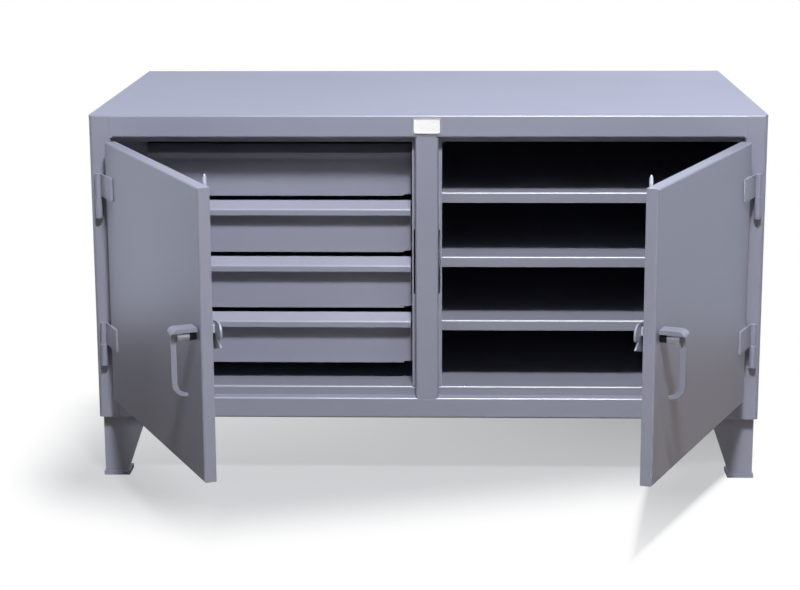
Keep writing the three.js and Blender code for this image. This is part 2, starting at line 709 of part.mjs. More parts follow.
function hingeFrameHalf(split) {
  const height = [split - HINGE_KNUCKLE - CONTACT_GAP, split - CONTACT_GAP];
  const knuckle = bar("z", [0, 0], HINGE_FRAME_RADIUS, height);
  const half = HINGE_FRAME_BLOCK / 2;
  const foot = block([-half, half], [0, DOOR_FACE - CONTACT_GAP], height);
  const pin = bar("z", [0, 0], HINGE_PIN_RADIUS, [split - CUT_EXTRA, split + HINGE_PIN_LENGTH]);
  return join(knuckle, foot, pin);
}

// Handle: a flat ledge that bends down and narrows into a hanging bar
function handleGrip() {
  const root = DOOR_FACE - STOP_GAP;
  const out = DOOR_FACE - GRIP_OUT;
  const ledge = LATCH_HEIGHT + SPINDLE_HUB_RADIUS + CONTACT_GAP;
  const top = ledge + GRIP_LEDGE;
  const bottom = top - GRIP_DROP;
  const path = [
    [root, top],
    [out, top],
    [out, bottom],
    [out + GRIP_RETURN, bottom],
  ];
  const bends = [GRIP_TOP_BEND + GRIP_BAR / 2, GRIP_END_BEND];
  const half = GRIP_WIDTH / 2;
  const across = [SPINDLE_X - half, SPINDLE_X + half];
  const strap = extrude(fold(path, GRIP_BAR, bends), "x", across);
  const barHalf = GRIP_BAR_WIDTH / 2;
  const front = new THREE.Shape();
  front.moveTo(SPINDLE_X - barHalf, bottom - CUT_EXTRA);
  front.lineTo(SPINDLE_X + barHalf, bottom - CUT_EXTRA);
  front.lineTo(SPINDLE_X + barHalf, ledge - GRIP_NECK);
  front.quadraticCurveTo(SPINDLE_X + barHalf, ledge, SPINDLE_X + half, ledge);
  front.lineTo(SPINDLE_X + half, top + CUT_EXTRA);
  front.lineTo(SPINDLE_X - half, top + CUT_EXTRA);
  front.lineTo(SPINDLE_X - half, ledge);
  front.quadraticCurveTo(SPINDLE_X - barHalf, ledge, SPINDLE_X - barHalf, ledge - GRIP_NECK);
  const neck = new THREE.Shape(front.extractPoints(BEND_STEPS * 2).shape);
  const bent = strap.intersect(extrude(neck, "y", [out - CUT_EXTRA, DOOR_FACE]));
  const inside = extrude(gripHollow(out, bottom), "x", across);
  const under = [out + GRIP_BAR, DOOR_FACE];
  const thinning = block([across[0] - CUT_EXTRA, across[1] + CUT_EXTRA], under, [ledge - GRIP_BAR, ledge]);
  return cut(bent, inside, thinning);
}

// The round inside the lower bend, which thins the bar towards its end
function gripHollow(out, bottom) {
  const reach = GRIP_RETURN - GRIP_BAR;
  const rise = GRIP_END_BEND - GRIP_END_SHEET;
  const radius = (reach * reach + rise * rise) / (2 * reach);
  const hollow = new THREE.Shape();
  hollow.absarc(out + GRIP_BAR + radius, bottom + GRIP_END_BEND, radius, Math.PI, Math.PI * 3, false);
  return new THREE.Shape(hollow.extractPoints(BEND_STEPS * 8).shape);
}

function handleSpindle() {
  const out = DOOR_FACE - GRIP_OUT + GRIP_BAR + SPINDLE_FROM_BAR;
  const hub = bar("y", [SPINDLE_X, LATCH_HEIGHT], SPINDLE_HUB_RADIUS, [out, out + SPINDLE_HUB_LENGTH]);
  return join(hub, bar("y", [SPINDLE_X, LATCH_HEIGHT], SPINDLE_RADIUS, [out, CAM_BACK]));
}

// The cam: a plate on the spindle with a round nose past the door's edge, a hook under it
// and two crank pins
function latchCam() {
  const tip = DOOR_FAR + CAM_REACH;
  const lobeX = tip - CAM_LOBE_RADIUS;
  const lobeZ = LATCH_HEIGHT + CAM_LOBE_RISE;
  const lobeEnd = -Math.asin(CAM_LOBE_BELOW / CAM_LOBE_RADIUS);
  const nose = new THREE.Shape();
  nose.moveTo(SPINDLE_X, LATCH_HEIGHT + CAM_RADIUS);
  nose.lineTo(SPINDLE_X, LATCH_HEIGHT - CAM_RADIUS);
  nose.lineTo(tip - CAM_HOOK_BACK - CAM_HOOK_LENGTH, LATCH_HEIGHT - CAM_HOOK_DROP);
  nose.lineTo(tip - CAM_HOOK_BACK, LATCH_HEIGHT - CAM_HOOK_TIP_DROP);
  nose.lineTo(tip - CAM_NOTCH_DEPTH, lobeZ - CAM_LOBE_BELOW);
  nose.absarc(lobeX, lobeZ, CAM_LOBE_RADIUS, lobeEnd, Math.PI / 2, false);
  const noseOutline = new THREE.Shape(nose.extractPoints(BEND_STEPS * 3).shape);
  const plate = extrude(noseOutline, "y", [CAM_FRONT, CAM_BACK]);
  const disc = bar("y", [SPINDLE_X, LATCH_HEIGHT], CAM_RADIUS, [CAM_FRONT, CAM_BACK]);
  const pins = [1, -1].map((side) =>
    bar(
      "y",
      [SPINDLE_X + side * CRANK_OFFSET, LATCH_HEIGHT + side * CRANK_OFFSET],
      CRANK_PIN_RADIUS,
      [YOKE_FRONT - YOKE_GAP, CAM_FRONT + CUT_EXTRA],
    ),
  );
  return cut(join(plate, disc, ...pins), spindleHole());
}

// Lock rods: a round rod with a cone at its tip and a slotted plate that a crank pin drives

function rodShaft(low, high, tipUp) {
  const taperLength = Math.min(ROD_TIP_TAPER, (high - low) / 2);
  const tip = ROD_RADIUS / 3;
  const profile = [
    [0, 0],
    [ROD_RADIUS, 0],
    [ROD_RADIUS, high - low - taperLength],
    [tip, high - low],
    [0, high - low],
  ].map(([r, y]) => new THREE.Vector2(r, y));
  const geometry = new THREE.LatheGeometry(profile, ROUND_STEPS);
  geometry.rotateX(tipUp ? Math.PI / 2 : -Math.PI / 2);
  geometry.translate(ROD_X, ROD_Y, tipUp ? low : high);
  return solidOf(geometry);
}

const yokeSlotLow = CRANK_OFFSET - CRANK_PIN_RADIUS - YOKE_PLAY;
const yokeSlotHigh = CRANK_RADIUS + CRANK_PIN_RADIUS + YOKE_PLAY;
const yokeSlotHalf = CRANK_PIN_RADIUS + YOKE_PLAY;
const yokeThickness = [YOKE_FRONT, YOKE_BACK];

// A rod, the foot that ties it to its yoke, and the yoke: an arm with a slot for the crank pin.
// side is 1 for the upper rod and -1 for the lower one
function lockRod(side, bridge, shaft) {
  const pin = LATCH_HEIGHT + side * CRANK_OFFSET;
  const span = (near, far) => [SPINDLE_X + side * near, SPINDLE_X + side * far].sort((a, b) => a - b);
  const inner = yokeSlotLow - YOKE_RIM;
  const eye = block(span(inner, yokeSlotHigh + YOKE_RIM), yokeThickness, [
    pin - yokeSlotHalf - YOKE_RIM,
    pin + yokeSlotHalf + YOKE_RIM,
  ]);
  const reach = span(inner, inner + YOKE_ARM);
  const arm = block(reach, yokeThickness, [Math.min(pin, bridge[0]), Math.max(pin, bridge[1])]);
  const rodSides = [ROD_X - ROD_RADIUS, ROD_X + ROD_RADIUS];
  const across = [Math.min(reach[0], rodSides[0]), Math.max(reach[1], rodSides[1])];
  const foot = block(rodSides, [YOKE_FRONT, ROD_Y + ROD_RADIUS], bridge);
  const slot = block(
    span(yokeSlotLow, yokeSlotHigh),
    [YOKE_FRONT - CUT_EXTRA, YOKE_BACK + CUT_EXTRA],
    [pin - yokeSlotHalf, pin + yokeSlotHalf],
  );
  const rod = rodShaft(shaft[0], shaft[1], side > 0);
  return cut(join(rod, foot, block(across, yokeThickness, bridge), arm, eye), slot);
}

function upperRod() {
  const low = LATCH_HEIGHT + YOKE_BRIDGE_ABOVE;
  return lockRod(1, [low, low + YOKE_BRIDGE_HEIGHT], [low, DOOR_TOP + ROD_ABOVE_DOOR]);
}

function lowerRod() {
  const high = LATCH_HEIGHT - YOKE_BRIDGE_BELOW;
  return lockRod(-1, [high - YOKE_BRIDGE_HEIGHT, high], [DOOR_BOTTOM + ROD_ABOVE_DOOR_BOTTOM, high]);
}

// A hat-shaped strap over a rod, on the latch channel
function rodGuide(middle) {
  const half = ROD_RADIUS + GUIDE_CLEARANCE + GUIDE_SHEET;
  const seat = DOOR_INSIDE + CONTACT_GAP;
  const crown = ROD_Y + ROD_RADIUS + GUIDE_CLEARANCE + GUIDE_SHEET;
  const path = [
    [ROD_X + half + GUIDE_FLANGE, seat + GUIDE_SHEET],
    [ROD_X + half, seat + GUIDE_SHEET],
    [ROD_X + half, crown],
    [ROD_X - half, crown],
    [ROD_X - half, seat + GUIDE_SHEET],
    [ROD_X - half - GUIDE_FLANGE, seat + GUIDE_SHEET],
  ];
  const height = [middle - GUIDE_HEIGHT / 2, middle + GUIDE_HEIGHT / 2];
  return extrude(fold(path, GUIDE_SHEET, GUIDE_BEND), "z", height);
}

// Assembly: each hand holds a side, a door and its latch, and the right hand is mirrored

const bench = new THREE.Group();
addPiece(bench, "worktop", worktop(), topPaint);
addPiece(bench, "back_panel", backPanel(), bodyPaint);
addPiece(bench, "bottom_rail", bottomRail(), bodyPaint);
addPiece(bench, "floor_pan", floorPan(), insidePaint);
addPiece(bench, "centre_post", centrePost(), bodyPaint);
addPiece(bench, "name_plate", namePlate(), plateWhite);
addPiece(bench, "drawer_panel_left", leftDrawerPanel(), insidePaint);
addPiece(bench, "drawer_panel_right", rightDrawerPanel(), insidePaint);
addPiece(bench, "shelf_cleats_left", shelfCleats(POST_HALF + CONTACT_GAP, 1), insidePaint);
addPiece(bench, "shelf_cleats_right", shelfCleats(WALL_INSIDE - CONTACT_GAP, -1), insidePaint);
for (const [level, top] of Object.entries(shelfTops)) {
  addPiece(bench, `shelf_${level}`, shelf(top), insidePaint);
}
for (const index of drawerNumbers) {
  addPiece(bench, `drawer_front_${index}`, drawerFront(index), bodyPaint);
  addPiece(bench, `drawer_box_${index}`, drawerBox(index), insidePaint);
}

const hands = { left: [1, LEFT_DOOR_OPEN], right: [-1, RIGHT_DOOR_OPEN] };
for (const [hand, [mirror, openAngle]] of Object.entries(hands)) {
  const half = new THREE.Group();
  half.scale.x = mirror;
  bench.add(half);
  addPiece(half, `side_panel_${hand}`, leftSide(), bodyPaint);
  addPiece(half, `divider_panel_${hand}`, leftDivider(), insidePaint);
  for (const [end, mirrorY] of [["front", 1], ["rear", -1]]) {
    const corner = new THREE.Group();
    corner.scale.y = mirrorY;
    corner.position.y = mirrorY > 0 ? 0 : DEPTH;
    half.add(corner);
    addPiece(corner, `leg_${end}_${hand}`, leg(), bodyPaint);
    addPiece(corner, `foot_plate_${end}_${hand}`, foot(), bodyPaint);
  }
  const axis = new THREE.Group();
  axis.position.set(HINGE_AXIS_X, -HINGE_AXIS_PROUD, 0);
  half.add(axis);
  const door = new THREE.Group();
  door.rotation.z = THREE.MathUtils.degToRad(-openAngle);
  axis.add(door);
  for (const [place, split] of Object.entries(HINGE_HEIGHTS)) {
    addPiece(axis, `hinge_frame_half_${hand}_${place}`, hingeFrameHalf(split), bodyPaint);
    addPiece(door, `hinge_door_half_${hand}_${place}`, hingeDoorHalf(split), bodyPaint);
  }
  addPiece(door, `door_${hand}`, doorPan(), bodyPaint);
  addPiece(door, `latch_channel_${hand}`, latchChannel(), bodyPaint);
  addPiece(door, `rod_guide_${hand}_upper`, rodGuide(DOOR_TOP - GUIDE_FROM_DOOR_TOP), bodyPaint);
  addPiece(door, `rod_guide_${hand}_lower`, rodGuide(DOOR_BOTTOM + GUIDE_FROM_DOOR_BOTTOM), bodyPaint);
  addPiece(door, `handle_grip_${hand}`, handleGrip(), bodyPaint);
  addPiece(door, `handle_spindle_${hand}`, handleSpindle(), plated);
  addPiece(door, `latch_cam_${hand}`, latchCam(), bodyPaint);
  addPiece(door, `lock_rod_${hand}_upper`, upperRod(), plated);
  addPiece(door, `lock_rod_${hand}_lower`, lowerRod(), plated);
}

// The origin is under the middle of the box round the whole bench with its doors open.
const bounds = new THREE.Box3().setFromObject(bench, true);
const middle = bounds.getCenter(new THREE.Vector3());
bench.position.set(-middle.x, -middle.y, -bounds.min.z);

const part = new THREE.Group();
part.add(bench);
export default part;
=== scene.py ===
"""Looks of the welded steel workbench: finishes for the CAD frame, small fittings, stage and light."""

import math

import bmesh
import bpy
from mathutils import Matrix, Vector


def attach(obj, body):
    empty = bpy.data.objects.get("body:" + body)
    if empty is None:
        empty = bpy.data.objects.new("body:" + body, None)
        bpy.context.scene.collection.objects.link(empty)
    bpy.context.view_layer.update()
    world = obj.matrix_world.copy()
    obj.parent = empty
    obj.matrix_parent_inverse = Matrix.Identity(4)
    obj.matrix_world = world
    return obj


# Bench coordinates, in millimetres, have y = 0 at the front face; the frame's origin is further back.
MM = 0.001
FRONT_SHIFT = -119.6033
FRONT = (0.0, -1.0, 0.0)
INWARD = (0.0, 1.0, 0.0)

# Camera, solved on the photograph
IMAGE_WIDTH = 800
FOCAL_PIXELS = 2006.49
SENSOR_WIDTH = 36.0
CAMERA_PLACE = (0.07579, -4.58832, 1.43449)
CAMERA_PITCH = -12.5669
CAMERA_YAW = 1.7594
CAMERA_ROLL = 0.2374
CAMERA_REACH = 200.0

# Doors and latch, in millimetres
HINGE_AXIS = (743.0, -8.5)
DOOR_OPEN = {"left": 65.0, "right": 67.0}
DOOR_SIDE = {"left": -1.0, "right": 1.0}
DOOR_FACE = 8.5
DOOR_NEAR = 33.0
LATCH_HEIGHT = 494.0
SPINDLE_X = 678.5
CAM_BACK = 44.4
ROD_X = 656.0
GUIDE_FLANGE_TOP = 36.2
GUIDE_MIDDLES = {"upper": 749.0, "lower": 265.0}
HINGE_SPLITS = {"upper": 668.25, "lower": 323.25}
KNUCKLE = 51.0
HINGE_LEAF = 58.0
HINGE_LEAF_END = DOOR_NEAR + HINGE_LEAF

# Seams of the front frame that are welded and ground flush, in millimetres
SEAM_X = 712.35
TOP_RAIL_SPAN = (799.0, 845.0)
BOTTOM_RAIL_SPAN = (146.0, 195.0)
TOP_SEAM_Z = 844.85
SIDE_X = 762.0
CORNER = 10.0
CORNER_STEPS = 8
BENCH_BACK = 914.0
POST_HALF = 26.0
POST_SEAMS = (798.85, 195.15)
SEAM_END = 4.0
SEAM_HALF = 2.6
SEAM_PROUD = 0.04
SEAM_LIFT = 0.02
SEAM_ROOT = 0.1
SEAM_ROOT_SHARE = 0.8
SEAM_STEPS = 6
SEAM_RUN_STEPS = 6

# Weld beads at the hinges: radius and place in millimetres, then shares of the radius
WELD_SINK = 0.6
FRAME_WELD_ASIDE = 4.6
FRAME_WELD_ENDS = (1.0, 2.0)
FRAME_WELD_RADIUS = 2.2
DOOR_WELD_START = 7.0
DOOR_WELD_END = 1.0
DOOR_WELD_RADIUS = 2.0
BEAD_SIDES = 9
BEAD_STEP = 0.28
BEAD_LEAST_STEPS = 8
BEAD_SWELL = (0.86, 0.14)
BEAD_PITCH = 1.1
BEAD_END_SHARE = 0.35
BEAD_LAG = 0.45
BEAD_RISE = 0.62

# Sleeve, nut, bolts and the trim of the blank plate, in millimetres
SLEEVE_INNER = 6.5
SLEEVE_OUTER = 9.6
SLEEVE_LENGTH = 13.2
SLEEVE_RIM = (0.8, 0.6)
SLEEVE_MOUTH = (0.5, 0.4)
NUT_FLATS = 18.0
NUT_THICK = 8.0
NUT_CHAMFER = 0.8
NUT_FACE_SHARE = 0.9
NUT_BORE = 5.5
THREAD_END = ((0.0, 0.0), (0.0, 2.2), (-0.8, 3.0))
THREAD_SINK = 0.5
BOLT_SPREAD = 13.0
BOLT_RADIUS = 4.2
BOLT_HEIGHT = 3.0
PLATE_FACE = -1.45
PLATE_MIDDLE = 825.0
BORDER_HALF = (31.4, 17.9)
BORDER_CORNER = 4.6
BORDER_STEPS = 5
BORDER_BAND = 1.7
BORDER_FRONT = -1.75
RIVET_X = 27.5
RIVET_HEIGHTS = (812.2, 837.8)
RIVET_RADIUS = 1.5
RIVET_HEIGHT = 0.9
DOME_RIM = 0.3
DOME_STEPS = 6
TURNED_SIDES = 28
SMALL_SIDES = 20
SMOOTH_ANGLE = 32.0

# Finishes, linear colours
BODY_COLOUR = (0.258, 0.270, 0.354)
TOP_COLOUR = (0.256, 0.269, 0.356)
# darker copy of the body colour for the inner parts: painted shade inside the bench
INNER_SHADED_COLOUR = (0.225, 0.234, 0.300)
BARE_STEEL = (0.46, 0.46, 0.47)
ZINC = (0.74, 0.80, 0.92)
# near-black colour of the spindle sleeves between the hub and the door
NEAR_BLACK = (0.018, 0.018, 0.022)
# darkening of the body colour for the handle grips: painted shade
GRIP_SHADE_SHARE = 0.88
PLATE_WHITE = (0.86, 0.87, 0.89)
PLATE_INK = (0.035, 0.037, 0.05)
WHITE = (1.0, 1.0, 1.0)

# Noises as scale, detail and roughness; bumps as strength and distance in metres
NOISE_SPAN = (0.3, 0.7)
BODY_GLOSS = 0.30
BODY_WEAR = 0.5
TOP_GLOSS = 0.32
TOP_WEAR = 0.6
INNER_GLOSS = 0.36
INNER_WEAR = 0.4
PLATE_GLOSS = 0.30
INK_GLOSS = 0.38
NEAR_BLACK_GLOSS = 0.45
DRIFT = (2.2, 3.0, 0.5)
DRIFT_SHADES = (0.97, 1.03)
DRIFT_GLOSS = (-0.02, 0.05)
MOTTLE = (26.0, 4.0, 0.6)
MOTTLE_SPAN = (0.35, 0.75)
MOTTLE_SHARE = 0.07
MOTTLE_SHADE = 1.2
WEAR_SPAN = (0.46, 0.62)
WEAR_REACH = 0.0022
EDGE_SAMPLES = 4
EDGE_BEND = (0.97, 0.80)
PEEL = (420.0, 2.0, 0.5)
PEEL_BUMP = (0.14, 0.0003)
WAVES = (4.0, 1.0, 0.5)
WAVES_BUMP = (0.08, 0.002)
CLOUD = (60.0, 4.0, 0.6)
CLOUD_SPAN = (0.35, 0.7)
CLOUD_SHADES = (0.84, 1.12)
ZINC_ROUGHNESS = (0.30, 0.48)
ZINC_METALLIC = 0.5
LINES = (300.0, 3.0, 0.6)
LINES_STRETCH = (1.0, 1.0, 0.05)
LINES_BUMP = (0.12, 0.0002)
SPECKS = (190.0, 4.0, 0.65)
SPECKS_SPAN = (0.35, 0.7)
SPECKS_SHADES = (1.04, 0.93)
SPECKS_DULL = 0.12
SPECKS_BUMP = (0.08, 0.0001)

# Softened edges of the CAD nodes, metres and degrees
WELD_REACH = 1e-5
EDGE_ROUND = 0.0008
EDGE_SEGMENTS = 2
EDGE_ANGLE = 35.0
NORMAL_WEIGHT = 60
GRIPS = ("handle_grip_left", "handle_grip_right")

# Floor as seen: painted shadow, grey under the bench and beside the right door, white past the fades;
# metres
FLOOR_HALF = 40.0
FLOOR_HEIGHT = -0.0005
FLOOR_BOUNCE = (0.37, 0.35, 0.31)
FLOOR_LOOK = (0.200, 0.206, 0.212)
# cool tint of the glow in the painted shadow
SHADE_TINT = (1.0, 1.022, 1.045)
SHADE_TINT_SPAN = (0.5, 0.95)
SHADE_WHITE = 0.515
SHADE_TILT = 0.20
SHADE_TILT_SPAN = (-0.10, 0.35)
SHADE_FADE = 0.36
SHADE_LEFT = 0.79
SHADE_LEFT_FADE = 0.22
SHADE_BACK = 0.42
SHADE_RIGHT = (0.70, 0.80)
SHADE_FRONTS = ((0.31, 0.143), (-0.50, 0.508))
DOOR_SHADE_RUN = (0.902, -0.432)
DOOR_SHADE_EDGE = (0.624, 0.684)
DOOR_SHADE_SLOPE = -0.125
DOOR_SHADE_SIDE = (0.570, 0.500)
DOOR_SHADE_REACH = (-0.19, -0.60)
DOOR_SHADE_BACK = (-0.05, 0.15)
DOOR_SHADE_WHITE = (0.52, 0.80)

# Painted reflections, what glossy paint mirrors: a white room with a blue cast, and a floor that is dark
# near the bench
MIRROR_TINT = (0.88, 0.95, 1.19)
MIRROR_NEAR_TINT = (1.20, 0.96, 0.76)
MIRROR_ROOM = (0.76, 1.08)
MIRROR_ROOM_SPAN = 0.12
MIRROR_SIDES = (-0.5, 0.5)
MIRROR_NEAR = (0.05, 0.28)
MIRROR_FAR = (1.05, 0.79)
MIRROR_EDGE = (1.72, 1.92)
MIRROR_ASIDE = 0.64
MIRROR_LEAN = 0.05
MIRROR_BACK = 0.77

# Light: the room's colour and level, then each lamp's place, target, size and power
ROOM_LIGHT = (1.0, 0.88, 0.74)
ROOM_LEVEL = 0.10
BENCH_MIDDLE = (0.0, -0.1, 0.5)
BENCH_REAR = (0.0, 0.4, 0.45)
KEY = ((0.30, -3.1, 4.6), (0.0, -0.1, 0.6), 0.75, 320.0)
FILL_LEFT = ((-3.2, -3.4, 3.6), BENCH_MIDDLE, 1.6, 13.0)
FILL_RIGHT = ((3.2, -3.4, 3.6), BENCH_MIDDLE, 1.6, 16.0)
REAR_LEFT = ((-2.2, 3.4, 1.25), BENCH_REAR, 1.6, 58.0)
REAR_RIGHT = ((2.2, 3.4, 1.25), BENCH_REAR, 1.6, 58.0)
SHEEN = ((0.85, -3.1, 4.6), (0.2, -0.1, 0.6), 1.0, 600.0)

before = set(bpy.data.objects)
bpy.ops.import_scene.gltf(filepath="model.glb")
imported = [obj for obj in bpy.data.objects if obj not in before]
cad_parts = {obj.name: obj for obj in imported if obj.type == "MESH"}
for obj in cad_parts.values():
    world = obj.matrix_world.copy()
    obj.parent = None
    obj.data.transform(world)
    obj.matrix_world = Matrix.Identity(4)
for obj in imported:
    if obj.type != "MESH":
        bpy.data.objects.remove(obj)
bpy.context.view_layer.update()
scene = bpy.context.scene
scene.view_settings.view_transform = "Standard"


# Shader building

def new_material(name):
    material = bpy.data.materials.new(name)
    material.use_nodes = True
    tree = material.node_tree
    tree.nodes.clear()
    output = tree.nodes.new("ShaderNodeOutputMaterial")
    return material, tree, output


def add(tree, kind, **settings):
    node = tree.nodes.new(kind)
    for key, value in settings.items():
        setattr(node, key, value)
    return node


def wire(tree, source, target):
    tree.links.new(source, target)


def noise(tree, place, scale, detail, roughness, stretch=None):
    vector = place
    if stretch:
        mapping = add(tree, "ShaderNodeMapping")
        mapping.inputs["Scale"].default_value = stretch
        wire(tree, place, mapping.inputs["Vector"])
        vector = mapping.outputs["Vector"]
    node = add(tree, "ShaderNodeTexNoise")
    node.inputs["Scale"].default_value = scale
    node.inputs["Detail"].default_value = detail
    node.inputs["Roughness"].default_value = roughness
    wire(tree, vector, node.inputs["Vector"])
    return node.outputs["Fac"]


def rescale(tree, value, low, high, to_low, to_high, curve="LINEAR"):
    node = add(tree, "ShaderNodeMapRange", clamp=True, interpolation_type=curve)
    for socket, number in zip(node.inputs[1:5], (low, high, to_low, to_high)):
        socket.default_value = number
    wire(tree, value, node.inputs["Value"])
    return node.outputs["Result"]


def math_node(tree, operation, first, second):
    node = add(tree, "ShaderNodeMath", operation=operation)
    for socket, value in zip(node.inputs, (first, second)):
        if isinstance(value, (int, float)):
            socket.default_value = value
        else:
            wire(tree, value, socket)
    return node.outputs["Value"]


def mix_colour(tree, factor, first, second):
    node = add(tree, "ShaderNodeMix", data_type="RGBA")
    wire(tree, factor, node.inputs["Factor"])
    for socket, value in ((node.inputs["A"], first), (node.inputs["B"], second)):
        if isinstance(value, tuple):
            socket.default_value = (*value, 1.0)
        else:
            wire(tree, value, socket)
    return node.outputs["Result"]


def mix_shader(tree, factor, first, second):
    node = add(tree, "ShaderNodeMixShader")
    wire(tree, factor, node.inputs["Fac"])
    wire(tree, first, node.inputs[1])
    wire(tree, second, node.inputs[2])
    return node.outputs["Shader"]


def bump(tree, height, strength, distance, under=None):
    node = add(tree, "ShaderNodeBump")
    node.inputs["Strength"].default_value = strength
    node.inputs["Distance"].default_value = distance
    wire(tree, height, node.inputs["Height"])
    if under:
        wire(tree, under, node.inputs["Normal"])
    return node.outputs["Normal"]


def edge_mask(tree, radius):
    """1 on edges and 0 on flat faces, from the bend of a rounded normal away from the true one."""
    rounded = add(tree, "ShaderNodeBevel", samples=EDGE_SAMPLES)
    rounded.inputs["Radius"].default_value = radius
    geometry = add(tree, "ShaderNodeNewGeometry")
    dot = add(tree, "ShaderNodeVectorMath", operation="DOT_PRODUCT")
    wire(tree, rounded.outputs["Normal"], dot.inputs[0])
    wire(tree, geometry.outputs["Normal"], dot.inputs[1])
    return rescale(tree, dot.outputs["Value"], *EDGE_BEND, 0.0, 1.0)


def shade(colour, factor):
    return tuple(min(1.0, part * factor) for part in colour)


def two_tones(tree, share, colour, factors):
    return mix_colour(tree, share, shade(colour, factors[0]), shade(colour, factors[1]))


def surface(tree, output, tone, roughness, normal, metallic=0.0):
    shader = add(tree, "ShaderNodeBsdfPrincipled")
    wire(tree, tone, shader.inputs["Base Color"])
    wire(tree, roughness, shader.inputs["Roughness"])
    shader.inputs["Metallic"].default_value = metallic
    wire(tree, normal, shader.inputs["Normal"])
    wire(tree, shader.outputs["BSDF"], output.inputs["Surface"])


def paint(name, colour, gloss=BODY_GLOSS, wear=BODY_WEAR):
    """Sprayed enamel: orange peel, a slow drift of tone and thin spots along the edges."""
    material, tree, output = new_material(name)
    place = add(tree, "ShaderNodeTexCoord").outputs["Object"]
    drift = noise(tree, place, *DRIFT)
    mottle = noise(tree, place, *MOTTLE)
    peel = noise(tree, place, *PEEL)
    waves = noise(tree, place, *WAVES)
    tone = two_tones(tree, rescale(tree, drift, *NOISE_SPAN, 0.0, 1.0), colour, DRIFT_SHADES)
    fine = rescale(tree, mottle, *MOTTLE_SPAN, 0.0, MOTTLE_SHARE)
    mottled = mix_colour(tree, fine, tone, shade(colour, MOTTLE_SHADE))
    broken = rescale(tree, mottle, *WEAR_SPAN, 0.0, wear)
    worn = math_node(tree, "MULTIPLY", edge_mask(tree, WEAR_REACH), broken)
    worn_tone = mix_colour(tree, worn, mottled, BARE_STEEL)
    roughness = rescale(tree, drift, *NOISE_SPAN, gloss + DRIFT_GLOSS[0], gloss + DRIFT_GLOSS[1])
    sheet = bump(tree, waves, *WAVES_BUMP)
    surface(tree, output, worn_tone, roughness, bump(tree, peel, *PEEL_BUMP, sheet))
    return material


def plated(name, colour):
    """Bright zinc on turned bar: fine lines, cloudy tone and duller patches."""
    material, tree, output = new_material(name)
    place = add(tree, "ShaderNodeTexCoord").outputs["Object"]
    cloud = noise(tree, place, *CLOUD)
    lines = noise(tree, place, *LINES, LINES_STRETCH)
    tone = two_tones(tree, rescale(tree, cloud, *NOISE_SPAN, 0.0, 1.0), colour, CLOUD_SHADES)
    roughness = rescale(tree, cloud, *CLOUD_SPAN, *ZINC_ROUGHNESS)
    surface(tree, output, tone, roughness, bump(tree, lines, *LINES_BUMP), ZINC_METALLIC)
    return material


def enamel(name, colour, gloss):
    """Plain thin coat of the blank plate, its border and the black sleeves."""
    material, tree, output = new_material(name)
    place = add(tree, "ShaderNodeTexCoord").outputs["Object"]
    specks = noise(tree, place, *SPECKS)
    tone = two_tones(tree, rescale(tree, specks, *SPECKS_SPAN, 0.0, 1.0), colour, SPECKS_SHADES)
    roughness = rescale(tree, specks, *NOISE_SPAN, gloss, gloss + SPECKS_DULL)
    surface(tree, output, tone, roughness, bump(tree, specks, *SPECKS_BUMP))
    return material


finishes = {
    "body_paint": paint("body_enamel", BODY_COLOUR),
    "top_paint": paint("top_enamel", TOP_COLOUR, TOP_GLOSS, TOP_WEAR),
    # inner parts take the darker copy of the body colour, a painted shade
    "inner_paint": paint("inner_shaded_enamel", INNER_SHADED_COLOUR, INNER_GLOSS, INNER_WEAR),
    "plated_steel": plated("zinc_plate", ZINC),
    "blank_plate": enamel("plate_enamel", PLATE_WHITE, PLATE_GLOSS),
}
plate_ink = enamel("plate_border", PLATE_INK, INK_GLOSS)
# The spindle sleeves are coloured near black.
near_black_finish = enamel("near_black_finish", NEAR_BLACK, NEAR_BLACK_GLOSS)
# The handle grips get a darker copy of the body enamel, a painted shade.
grip_shaded_paint = paint("grip_shaded_enamel", shade(BODY_COLOUR, GRIP_SHADE_SHARE))
seam_paint = paint("seam_enamel", BODY_COLOUR, wear=0.0)


# CAD nodes keep their shape and get their finish, softened edges and smooth bends

def dress(node):
    mesh = node.data
    slot = mesh.materials[0].name.split(".")[0]
    mesh.materials.clear()
    mesh.materials.append(grip_shaded_paint if node.name in GRIPS else finishes[slot])
    for name in ("custom_normal", "sharp_edge", "sharp_face"):
        attribute = mesh.attributes.get(name)
        if attribute:
            mesh.attributes.remove(attribute)
    weld = node.modifiers.new("weld", "WELD")
    weld.merge_threshold = WELD_REACH
    bevel = node.modifiers.new("edges", "BEVEL")
    bevel.width = EDGE_ROUND
    bevel.segments = EDGE_SEGMENTS
    bevel.limit_method = "ANGLE"
    bevel.angle_limit = math.radians(EDGE_ANGLE)
    bevel.harden_normals = False
    normals = node.modifiers.new("normals", "WEIGHTED_NORMAL")
    normals.weight = NORMAL_WEIGHT


for cad_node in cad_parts.values():
    dress(cad_node)


# Fittings: small pieces that the solids leave plain

def bench_point(x, y, z):
    return Vector((x * MM, (y + FRONT_SHIFT) * MM, z * MM))


def door_matrix(hand):
    """From a door's own millimetres (X from the hinge, Y inwards, Z up) to the frame."""
    turn = math.radians(DOOR_OPEN[hand])
    side = DOOR_SIDE[hand]
    across = Vector((-side * math.cos(turn), -math.sin(turn), 0.0)) * MM
    inward = Vector((-side * math.sin(turn), math.cos(turn), 0.0)) * MM
    matrix = Matrix((across, inward, Vector((0.0, 0.0, MM)))).transposed().to_4x4()
    matrix.translation = bench_point(side * HINGE_AXIS[0], HINGE_AXIS[1], 0.0)
    return matrix


def bench_matrix():
    matrix = Matrix.Diagonal((MM, MM, MM, 1.0))
    matrix.translation = bench_point(0.0, 0.0, 0.0)
    return matrix


def mesh_from(name, build):
    bm = bmesh.new()
    build(bm)
    bmesh.ops.recalc_face_normals(bm, faces=bm.faces)
    mesh = bpy.data.meshes.new(name)
    bm.to_mesh(mesh)
    bm.free()
    return mesh


